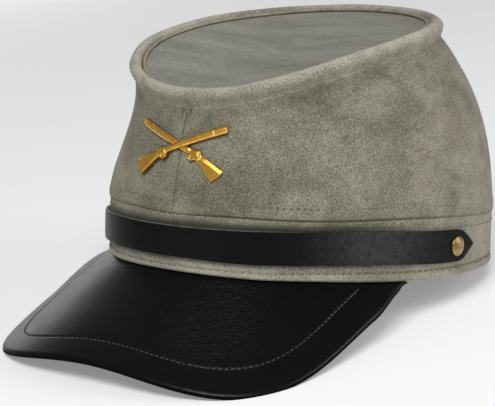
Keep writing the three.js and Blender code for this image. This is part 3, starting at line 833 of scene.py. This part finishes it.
def band_section(angle):
    """Rings of the band from the rolled hem up the outside and down the inside, with its marks of wear, dust
    and painted shade
    """
    hem = hem_height(angle)
    top = seam_height(angle)
    stitch_up = hem_stitch_up(angle)
    around = length_along(oval_point(BAND_OVAL, angle)) / HEM_STITCH.pitch
    pull = (0.5 + 0.5 * cos_of(360 * around)) ** 2
    back_seam = seam_relief(turned(angle, 180) * BAND_DEGREE)
    sides = []
    for turn in np.linspace(-200, 30, 22):
        out = HEM_ROLL.centre + HEM_ROLL.out * cos_of(turn)
        sides.append((out, hem + HEM_ROLL.up * (1 + sin_of(turn))))
    for up in np.concatenate([np.linspace(2.3, 7.0, 16), np.linspace(8.0, 18.0, 8)]):
        hollow = valley(up - stitch_up, HEM_STITCH.wide) * (0.32 + 0.3 * pull)
        puff = 0.4 * valley(up - 2.0, 1.5) + 0.12 * valley(up - 7.2, 1.6)
        sides.append((puff - hollow + back_seam * smoothstep(up, 3, 6), hem + up))
    for down in np.linspace(6.5, 1.0, 9):
        sides.append((back_seam * smoothstep(down, 0.5, 2.0), top - down))
    for turn in np.linspace(10, 90, 7):
        sides.append((SHOULDER * (cos_of(turn) - 1), top + SHOULDER * (sin_of(turn) - 1)))
    sides.append((-BAND_WALL, top))
    for share in np.linspace(0.1, 0.95, 9):
        sides.append((-BAND_WALL, blend(share, top, hem + 2)))
    rings = sweep(BAND_OVAL, angle, sides)
    over_hem = rings[..., 2] - hem[:, None]
    over_strap = rings[..., 2] - (strap_middle(angle) + STRAP.half_width)[:, None]
    # Darker along the strap's upper edge in front, with dust and with painted shade from the crown's seam and
    # the strap; the hem's stitch groove gets painted shade
    dust_and_painted_light = 0.9 * smoothstep(-from_front(angle), -88, -50)[:, None]
    dust_and_painted_light = dust_and_painted_light * smoothstep(-over_strap, -4.5, -0.5) * smoothstep(over_hem, 6, 9)
    soiled = np.maximum(dust_and_painted_light, 0.3 * valley(over_hem - stitch_up[:, None], HEM_STITCH.wide))
    worn_in_front = 0.5 * smoothstep(-from_front(angle), -75, -25)[:, None]
    return rings, 0.15 + worn_in_front * smoothstep(-over_hem, -7.0, -3.0), soiled


band_rings, band_rubbed, band_soiled_and_shaded = band_section(stations(0.6, NEAR_SEAM))
band_marks = {"rubbed": [band_rubbed], "soiled": [band_soiled_and_shaded]}
head_band = add_lofts("head_band", [band_rings], True, grey_suede, "suede", **band_marks)
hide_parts("band")

# %% [markdown]
# The visor is one sheet of stiff cowhide, cut square in front and stretched over a form so that it dips at
# the sides. Seen from above its outline is straight along the sides and turns in two quick corners; the
# wearer's right corner is a little rounder than the left, and the right end is lifted, as wear has left it.
# A flange at its root is sewn inside the band.

# %% The shape of the visor
VISOR = Sizes(
    end=72.9, thickness=2.4, edge=1.5, skived_to=0.18, skived_over=3.5,
    front_slope=27.1, side_slope=36.0, left_corner=4.0, right_corner=4.75,
    footing=-3.8, flare=8.3, under_hem=1.2, ends_raised=0.75, raised_over=5.0,
)
RIGHT_END = Sizes(lift=13.4, starts=48, stops=68)
OUTLINE = Sizes(
    half_width=88.0, corner_start=-72.0, reach=83.2, left_squareness=3.12,
    right_squareness=2.84, root_half_width=84.2, narrows_from=-60.0, root=-30.0,
)
BEYOND_EDGE = 120.0
HALVINGS = 40


def under_hem(angle):
    """How far below the hem the visor leaves the band, less where its thinned ends slip under it"""
    raised = smoothstep(np.abs(angle), VISOR.end - VISOR.raised_over, VISOR.end)
    return VISOR.under_hem * (1 - VISOR.ends_raised * raised)


def visor_height(angle, distance):
    corner = np.where(angle > 0, VISOR.left_corner, VISOR.right_corner) * sin_of(2 * angle) ** 2
    side = sin_of(angle) ** 2
    lift = RIGHT_END.lift * smoothstep(-angle, RIGHT_END.starts, RIGHT_END.stops)
    slope = blend(side, VISOR.front_slope, VISOR.side_slope) + corner - lift
    flare = (hem_height(angle) - under_hem(angle) - VISOR.footing) * np.exp(-distance / VISOR.flare)
    return VISOR.footing + flare - np.tan(np.radians(slope)) * distance


def within_visor(points, inset, squarer):
    """Whether points in plan lie inside the visor's edge, or inside a line that keeps an inset from it"""
    own = np.where(points[..., 0] > 0, OUTLINE.left_squareness, OUTLINE.right_squareness)
    squareness = own + squarer
    mix = smoothstep(points[..., 1], OUTLINE.narrows_from, OUTLINE.root)
    side = blend(mix, OUTLINE.half_width, OUTLINE.root_half_width) - inset
    ahead = np.maximum(OUTLINE.corner_start - points[..., 1], 0) / (OUTLINE.reach - inset)
    across = np.abs(points[..., 0]) / (OUTLINE.half_width - inset)
    in_corner = across ** squareness + ahead ** squareness < 1
    return np.where(points[..., 1] > OUTLINE.corner_start, np.abs(points[..., 0]) < side, in_corner)


def visor_reach(angle, inset=0.0, squarer=0.0):
    """How far from the band the edge lies, or the line of an inset, at each angle"""
    inside, outside = np.zeros_like(angle), np.full_like(angle, BEYOND_EDGE)
    for _ in range(HALVINGS):
        middle = (inside + outside) / 2
        kept = within_visor(beside_oval(BAND_OVAL, angle, middle, 0.0)[..., :2], inset, squarer)
        inside, outside = np.where(kept, middle, inside), np.where(kept, outside, middle)
    return inside


visor_angles = np.linspace(-VISOR.end, VISOR.end, 311)
reaches = np.maximum(visor_reach(visor_angles), 0.4)
print("the visor reaches", round(float(reaches.max())), "mm from the band")

# %% [markdown]
# A line of stitching runs 12.5 mm inside the visor's edge, in a groove that was scored for it, and turns
# the wearer's right corner a little more sharply than the edge does. The groove has to be part of the mesh,
# so the rows of points from root to edge are spread to follow it: most fill the smooth field, five fall
# across the groove, and the last turn round the burnished edge.

# %% Where the stitching line lies
STITCH_LINE = Sizes(inset=12.5, squarer_left=0.1, squarer_right=0.6, least=1.0)

squarer = np.where(visor_angles > 0, STITCH_LINE.squarer_left, STITCH_LINE.squarer_right)
stitch_at = visor_reach(visor_angles, STITCH_LINE.inset, squarer)
sewn = stitch_at > STITCH_LINE.least
stitch_at = np.where(sewn, stitch_at, 0.0)
print("stitching spans", [round(float(angle)) for angle in visor_angles[sewn][[0, -1]]], "degrees")

# %% [markdown]
# With the rows settled, the section at each station is: down the flange, over the fold, out along the
# upper face with its groove, round the edge, and back underneath. The leather thins towards both ends of
# the visor, where it slips up under the hem.

# %% Visor
FLANGE = Sizes(wall=1.8, top=12.0, fold_outer=0.6, fold_inner=1.0)
GROOVE = Sizes(half=1.4, rows=(-0.7, -0.3, 0.0, 0.3, 0.7), deep=0.42, lips=0.08)
WORKED = Sizes(across=30.0, along=-118.0, reach=58.0)
FLANGE_ROWS = 4
FACE_ROWS = (34, 12)
UPPER_TURNS = (15, 30, 45, 60, 72, 84)
LOWER_TURNS = (100, 120, 140, 160)


def visor_face(angle, distance, below):
    """The visor's upper face with its slow waves, or a level some way below it"""
    waves = 0.18 * np.sin(distance / 17 + angle / 9) * smoothstep(distance, 6, 30)
    return beside_oval(BAND_OVAL, angle, distance, visor_height(angle, distance) + waves - below)


def visor_section(angle, reach, stitch):
    """Rings of the visor: the flange inside the band, the upper face, the edge and the underside"""
    hem = hem_height(angle)
    root = hem - under_hem(angle) / 2
    full = VISOR.thickness / cos_of((VISOR.front_slope + VISOR.side_slope) / 2)
    skived = smoothstep(VISOR.end - np.abs(angle), 0, VISOR.skived_over)
    drop = full * (VISOR.skived_to + (1 - VISOR.skived_to) * skived)
    edge = np.minimum(VISOR.edge, reach / 3)
    flange_outer = -BAND_WALL - SEAM_GAP
    flange_inner = flange_outer - FLANGE.wall
    grooved = smoothstep(stitch, 0.8, 2.5)
    middle = np.where(stitch > 0, stitch, reach * 0.45)
    half = np.where(stitch > 0, np.minimum(GROOVE.half, stitch / 3), reach * 0.02)

    face = [((middle - half) * share, 0.0) for share in np.linspace(0, 1, FACE_ROWS[0])]
    for place in GROOVE.rows:
        deep = GROOVE.deep * valley(place, 0.4) - GROOVE.lips * valley(abs(place) - 1.1, 0.5)
        face.append((middle + place / GROOVE.half * half, deep * grooved))
    face += [(blend(share, middle + half, reach - edge), 0.0) for share in np.linspace(0, 1, FACE_ROWS[1])]
    face += [(reach + edge * (sin_of(turn) - 1), 0.34 * drop * (1 - cos_of(turn))) for turn in UPPER_TURNS]
    for turn in LOWER_TURNS:
        face.append((reach + edge * 0.9 * (sin_of(turn) - 1), drop * (1 - 0.3 * (1 + cos_of(turn)))))
    face += [((reach - edge) * share, drop) for share in np.linspace(1, 0, 22)]
    down_flange = [
        (flange_inner, FLANGE.top), (flange_outer, FLANGE.top),
        (flange_outer, hem + FLANGE.fold_outer), (flange_outer / 2, root),
    ]
    up_flange = [(flange_outer, root - drop), (flange_inner, hem - FLANGE.fold_inner)]
    face_rings = np.stack([visor_face(angle, out, below) for out, below in face], axis=1)
    flange_rings = [sweep(BAND_OVAL, angle, flange) for flange in (down_flange, up_flange)]
    return np.concatenate([flange_rings[0], face_rings, flange_rings[1]], axis=1)


visor_rings = visor_section(visor_angles, reaches, stitch_at)
from_worked = np.hypot(visor_rings[..., 0] - WORKED.across, visor_rings[..., 1] - WORKED.along)
visor_worked = smoothstep(-from_worked, -WORKED.reach, 0)
edge_row = FLANGE_ROWS + sum(FACE_ROWS) + len(GROOVE.rows)
visor_raw = smoothstep(np.arange(visor_rings.shape[1]) - edge_row, 3.5, 5.2)
visor_marks = {"worked": [visor_worked], "raw": [visor_raw]}
visor_sheet = add_lofts("visor_sheet", [visor_rings], False, visor_leather, "smooth_leather", **visor_marks)
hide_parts("visor")

# %% [markdown]
# The chin strap is cut from 2 mm leather, its corners struck off with an edge tool and its ends pointed.
# Buckles and slides are often added to such straps, but this one is plain, so a rounded rectangle swept
# along the band, closing to a blunt point at each end, is the whole piece.

# %% Chin strap
STRAP_ENDS = (92.6, 92.9, 93.4, 94.1, 95.0, 95.9, 96.8, 97.4, 97.8)
TOP_EDGE = slice(22, 26)


def strap_section(angle):
    """Rings round the strap: the bowed face, then the two flat sides and the back with rounded corners"""
    to_tip = (STRAP.tip - from_front(angle)) / (STRAP.tip - STRAP.shoulder)
    point = STRAP.tip_half + (STRAP.half_width - STRAP.tip_half) * to_tip
    full = STRAP.half_width - strap_loss(angle)
    rounding = STRAP.rounding * np.clip(to_tip, 0, 1)
    half = (full + point - np.hypot(full - point, rounding)) / 2
    corner = STRAP.corner
    inner, outer = SEAM_GAP, SEAM_GAP + STRAP.thickness
    section = []

    def turn_corner(out, side, first):
        for turn in np.linspace(first, first + 90, 6):
            section.append((out + corner * cos_of(turn), side * (half - corner) + corner * sin_of(turn)))

    turn_corner(outer - corner, -1, -90)
    for share in np.linspace(-1, 1, 16)[1:-1]:
        section.append((outer + STRAP.bow * (1 - share ** 4), (half - corner) * share))
    turn_corner(outer - corner, 1, 0)
    turn_corner(inner + corner, 1, 90)
    turn_corner(inner + corner, -1, 180)
    return sweep(BAND_OVAL, angle, [(out, strap_middle(angle) + up) for out, up in section])


strap_angles = np.concatenate([-np.array(STRAP_ENDS[::-1]), np.arange(-92.2, 92.3, 0.9), STRAP_ENDS])
strap_rings = strap_section(strap_angles)
strap_dust = 0.17 * valley(np.abs(strap_angles) - 63, 16) + 0.02 * valley(strap_angles - 8, 12)
strap_rubbed = np.repeat(strap_dust[:, None], strap_rings.shape[1], axis=1)
# A pale strip along the top edge in front is a painted highlight, laid with the dust mark
strap_rubbed[:, TOP_EDGE] += 0.6 * smoothstep(-np.abs(strap_angles), -50, -20)[:, None]
strap_marks = {"rubbed": [strap_rubbed]}
strap = add_lofts("strap_of_the_chin", [strap_rings], False, strap_leather, "smooth_leather", **strap_marks)
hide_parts("chin_strap")

# %% [markdown]
# Rivets like these are spun from brass: a domed head outside, a shank through strap and band, and a
# washer over which the shank's end is spread inside. A profile turned round the rivet's axis makes all of
# it; the head gets its low rim round the dome.

# %% Rivets
RIVET_ANGLE = 90.0
RIVET_SIDES = 40
RIVET_PROFILE = (
    (0.0, -3.8), (2.4, -3.8), (3.6, -3.75), (3.95, -3.45), (4.0, -3.0), (3.9, -2.62), (1.6, -2.6),
    (1.6, 2.6), (4.4, 2.6), (4.7, 2.7), (4.76, 2.9), (4.7, 3.12), (4.5, 3.34), (4.1, 3.62), (3.5, 3.95),
    (2.8, 4.25), (2.0, 4.5), (1.2, 4.68), (0.6, 4.77), (0.0, 4.8),
)


def add_rivet(name, angle):
    place = beside_oval(BAND_OVAL, angle, 0.0, strap_middle(angle))
    ahead = np.array([*outward(BAND_OVAL, angle), 0.0])
    around = np.array([-ahead[1], ahead[0], 0.0])
    points = []
    for turn in np.linspace(0, 360, RIVET_SIDES, endpoint=False):
        spoke = around * cos_of(turn) + np.array([0.0, 0.0, sin_of(turn)])
        points += [place + spoke * radius + ahead * along for radius, along in RIVET_PROFILE]
    count = len(RIVET_PROFILE)
    faces = []
    for ring in range(RIVET_SIDES):
        here, there = ring * count, (ring + 1) % RIVET_SIDES * count
        faces += [(here + k, there + k, there + k + 1, here + k + 1) for k in range(count - 1)]
    return add_piece(name, points, faces, aged_brass, {})


rivet_head_left = add_rivet("rivet_head_left", RIVET_ANGLE)
rivet_head_right = add_rivet("rivet_head_right", -RIVET_ANGLE)
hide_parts("rivet_left")
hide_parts("rivet_right")

# %% [markdown]
# A sewn line is a row of short thread ends, each rising out of one hole and diving into the next. Drawn
# as a texture it would vanish at a low angle, so every stitch here is a small bent capsule laid on the
# surface. One helper walks along any line of points and sets them at the machine's pitch.

# %% A row of stitches
STITCH_SIDES = 8
STITCH_STEPS = np.linspace(0, 1, 7)


def stitch_rings(line, out, thick, sink):
    """Rings of one stitch along a short line of points, thin at both holes and arched between them"""
    side = unit(np.cross(np.gradient(line, axis=0), out))
    arch = np.sin(np.pi * STITCH_STEPS) ** 0.5
    radius = thick / 2 * (0.55 + 0.45 * arch)
    lift = arch * thick * 0.5 - sink
    rings = []
    for turn in np.linspace(0, 360, STITCH_SIDES, endpoint=False):
        rise = (lift + radius * sin_of(turn))[:, None]
        rings.append(line + out * rise + side * (radius * cos_of(turn))[:, None])
    return np.stack(rings, axis=1)


def add_stitches(name, points, normals, sewing, material, slot):
    """Stitches at an even pitch along a line; sewing says how long, thick and deep each one is"""
    along = length_along(points)
    count = int(along[-1] // sewing.pitch)
    pitch = along[-1] / count
    stitches = []
    for number in range(count):
        places = (number + 0.5 + sewing.share * (STITCH_STEPS - 0.5)) * pitch
        line, out = (
            np.stack([np.interp(places, along, column) for column in rows.T], axis=-1)
            for rows in (points, normals)
        )
        stitches.append(stitch_rings(line, unit(out), sewing.thick, sewing.sink))
    print(name, "has", count, "stitches")
    return add_lofts(name, stitches, False, material, slot)


# %% [markdown]
# Four rows of stitches show. The crown's lower edge is topstitched 5 mm above the seam, and the band 3.6 mm
# below it in front and 5.2 mm behind, in thread of the suede's own grey that has sunk in; here it is
# coloured darker than the suede, as painted shade of its holes, so only dark short stitches are left to
# see. The hem is sewn coarser along its roll. Waxed black thread holds the visor's edge.

# %% Stitching of crown, band, hem and visor
GREY_SEWING = Sizes(pitch=3.1, share=0.4, thick=0.5, sink=0.2)
HEM_SEWING = Sizes(pitch=HEM_STITCH.pitch, share=0.38, thick=0.7, sink=0.2)
VISOR_SEWING = Sizes(pitch=2.7, share=0.75, thick=0.65, sink=0.3)
ABOVE_SEAM = 5.0
BELOW_SEAM = Sizes(in_front=3.6, behind=5.2)
HEM_STITCHES_OUT = -0.35
IN_GROOVE = 0.3
ring = np.linspace(0, 360, 1441)
flat_out = np.concatenate([outward(BAND_OVAL, ring), np.zeros((len(ring), 1))], axis=1)

crown_share = ABOVE_SEAM / (rim_height(ring) - NECK.below - seam_height(ring))
crown_line = wall_point(ring, crown_share)
crown_out = wall_normal(ring, crown_share)
add_stitches("crown_stitching", crown_line, crown_out, GREY_SEWING, grey_thread, "suede")

lower = smoothstep(from_front(ring), 20, 85)
below_seam = blend(lower, BELOW_SEAM.in_front, BELOW_SEAM.behind)
band_line = beside_oval(BAND_OVAL, ring, 0.0, seam_height(ring) - below_seam)
add_stitches("band_stitching", band_line, flat_out, GREY_SEWING, grey_thread, "suede")

hem_line = beside_oval(BAND_OVAL, ring, HEM_STITCHES_OUT, hem_height(ring) + hem_stitch_up(ring))
add_stitches("hem_stitching", hem_line, flat_out, HEM_SEWING, grey_thread, "suede")

edge_line = visor_face(visor_angles[sewn], stitch_at[sewn], IN_GROOVE)
inwards = visor_face(visor_angles[sewn], stitch_at[sewn] - 1, IN_GROOVE) - edge_line
edge_out = unit(np.cross(inwards, np.gradient(edge_line, axis=0)))
edge_out *= np.sign(edge_out[:, 2:])
add_stitches("visor_stitching", edge_line, edge_out, VISOR_SEWING, black_thread, "smooth_leather")

# %% [markdown]
# The badge is one stamping: two rifles crossed, bent to the crown's front. On such a stamping everything
# is low relief, so each rifle is a strip that runs from butt to muzzle, with an outline above and below its
# middle line and a height for every point across it. Bending it is a search: a few steps bring each point
# of the badge's plane to the place on the crown's wall that lies straight behind it.

# %% Bending the badge to the crown
BADGE = Sizes(share=0.643, seat=0.3, lip=0.12, bend_at=9.0, bend=3.0, bold=1.1)
WALL_STEP = Sizes(angle=1.6, share=70, times=14)
badge_place = wall_point(0.0, BADGE.share)
badge_right = np.array([1.0, 0.0, 0.0])
badge_up = np.cross(wall_normal(0.0, BADGE.share), badge_right)


def behind_badge(across, rise):
    """The crown wall's angle and share straight behind points of the badge's plane"""
    angle = np.zeros_like(across)
    share = np.full_like(across, BADGE.share)
    for _ in range(WALL_STEP.times):
        here = wall_point(angle, share) - badge_place
        angle = angle + (across - here @ badge_right) / WALL_STEP.angle
        share = share + (rise - here @ badge_up) / WALL_STEP.share
    return angle, share


print("the badge's middle lies at", badge_place.round(1))

# %% [markdown]
# The relief is a sum of plain shapes. The barrel is a round bar with a shallow groove where it lies in the
# fore-end; the stock is a slab with one broad and one narrow bevel. Bands, lock plate, hammer, trigger
# guard and foresight are soft bumps on top, as shallow as a die strikes them.

# %% Relief of a rifle
RIFLES = (
    Sizes(side=-1, tilt=20.8, droop=10.2, base=0.0, relief=0.85, barrel=1.10, stock=0.97, heel=0.8),
    Sizes(side=1, tilt=22.3, droop=3.5, base=0.7, relief=0.9, barrel=0.98, stock=1.0, heel=1.0),
)
RIFLE_OUTLINE = np.array([
    (-26.6, 2.6, 0.2), (-26.1, 3.2, 2.4), (-25.2, 3.2, 4.7), (-19.5, 2.9, 3.4), (-16.2, 2.2, 2.3),
    (-13.6, 1.4, 1.9), (-12.0, 2.9, 2.1), (-10.4, 2.8, 3.6), (-8.3, 1.8, 3.2), (-7.2, 1.3, 1.4),
    (0.0, 1.4, 1.5), (6.0, 1.6, 1.7), (18.0, 1.7, 1.8), (24.6, 1.7, 1.7), (25.4, 1.3, 1.2),
])
ACROSS_RIFLE = np.linspace(-1, 1, 29)


def bump(value, centre, half, soft):
    return smoothstep(half + soft - np.abs(value - centre), 0, soft)


def rifle_relief(along, height, above, below):
    """Height of the stamping over its back, at a place along the rifle and above its middle line"""
    spread = 2 * (height + below) / (above + below) - 1
    round_bar = 1.25 * np.sqrt(np.maximum(0, 1 - spread ** 2)) - 0.12 * valley(spread + 0.15, 0.16)
    slab = 0.2 + 1.0 * np.clip(np.minimum((above - height) / 1.9, (height + below) / 0.8), 0, 1)
    stock = smoothstep(-along, 5.5, 7.5)
    bands = sum(0.16 * bump(along, place, 0.35, 0.35) for place in (3.0, 11.0, 18.5))
    lock = 0.45 * bump(along, -10.6, 2.4, 0.5) * bump(height, -0.2, 0.9, 0.5)
    hammer = 0.5 * bump(along + 0.45 * (height - 1.5), -11.0, 0.7, 0.5) * bump(height, 2.2, 1.0, 0.5)
    from_guard = np.hypot(along + 9.6, height + 2.0)
    guard = 0.45 * bump(from_guard, 1.4, 0.35, 0.35) * smoothstep(-height, 1.0, 1.6)
    sight = 0.4 * bump(along, 24.0, 0.4, 0.4) * bump(height, 0.9, 0.3, 0.4)
    return 0.3 + round_bar * (1 - stock) + slab * stock + bands + lock + hammer + guard + sight


def from_crossing(along, steps):
    """Add up steps along the rifle, counted from where the two rifles cross"""
    total = np.cumsum(steps)
    return (total - np.interp(0.0, along, total))[:, None]


def rifle_rings(rifle):
    """Rings across a rifle, its flat back and its relief from edge to edge, and how soiled each point is"""
    corners = RIFLE_OUTLINE[:, 0]
    turns = np.concatenate([corners, corners[1:-1] - 0.12, corners[1:-1] + 0.12])
    along = np.unique(np.concatenate([np.arange(corners[0], corners[-1], 0.3), turns]))
    above, below = (BADGE.bold * np.interp(along, corners, RIFLE_OUTLINE[:, k])[:, None] for k in (1, 2))
    above = above * (1 - (1 - rifle.heel) * smoothstep(-along, 14, 20))[:, None]
    height = (above - below) / 2 + (above + below) / 2 * ACROSS_RIFLE
    bottom = BADGE.seat + rifle.base
    relief = bottom + rifle.relief * rifle_relief(along[:, None], height, above, below)
    relief[:, [0, -1]] = bottom + BADGE.lip
    height = np.pad(height, ((0, 0), (1, 1)), "edge")
    relief = np.pad(relief, ((0, 0), (1, 1)), constant_values=BADGE.seat)
    soiled = 0.85 * smoothstep(np.abs(np.pad(ACROSS_RIFLE, 1, "edge")), 0.7, 0.97)
    reach = np.gradient(along * np.where(along < 0, rifle.stock, rifle.barrel))
    drooping = smoothstep(-along, BADGE.bend_at - BADGE.bend, BADGE.bend_at + BADGE.bend)
    lean = rifle.tilt + rifle.droop * drooping
    cosine, sine = cos_of(lean), sin_of(lean)
    across = from_crossing(along, cosine * reach) - height * sine[:, None]
    rise = from_crossing(along, sine * reach) + height * cosine[:, None]
    angle, share = behind_badge(rifle.side * across, rise)
    return wall_point(angle, share) + wall_normal(angle, share) * relief[..., None], soiled


# %% [markdown]
# A badge like this is held by two threaded posts, brazed to its back and pushed through the crown, with a
# nut on each inside. They are plain rods along the wall's normal, so that they pass through it squarely,
# and they belong to the same piece as the rifles.

# %% Badge
POSTS = Sizes(beside=10.5, rise=-4.8, soiled=0.3)
POST = {"radius": 0.8, "start": -2.9, "stop": 0.8, "sides": 16}
NUT = {"radius": 3.0, "start": -3.3, "stop": -2.1, "sides": 24}


def rod(place, direction, radius, start, stop, sides):
    across = unit(np.cross(direction, (0.0, 0.0, 1.0)))
    over = np.cross(direction, across)
    turns = np.linspace(0, 360, sides, endpoint=False)[:, None]
    circle = place + radius * (across * cos_of(turns) + over * sin_of(turns))
    return np.stack([circle + direction * along for along in (start, stop)])


badge_parts = [rifle_rings(rifle) for rifle in RIFLES]
for side in (-1, 1):
    post = behind_badge(np.array(side * POSTS.beside), np.array(POSTS.rise))
    for size in (POST, NUT):
        badge_parts.append((rod(wall_point(*post), wall_normal(*post), **size), POSTS.soiled))
badge_lofts, badge_soiled = zip(*badge_parts)
badge = add_lofts("crossed_rifles", badge_lofts, False, gilt_brass, "gilt", soiled=badge_soiled)
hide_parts("badge")

# %% [markdown]
# The dressed pieces should differ from their CAD pieces by little more than the puff of a seam. The last
# cell sets the picture's view transform to Standard.

bpy.context.scene.view_settings.view_transform = "Standard"
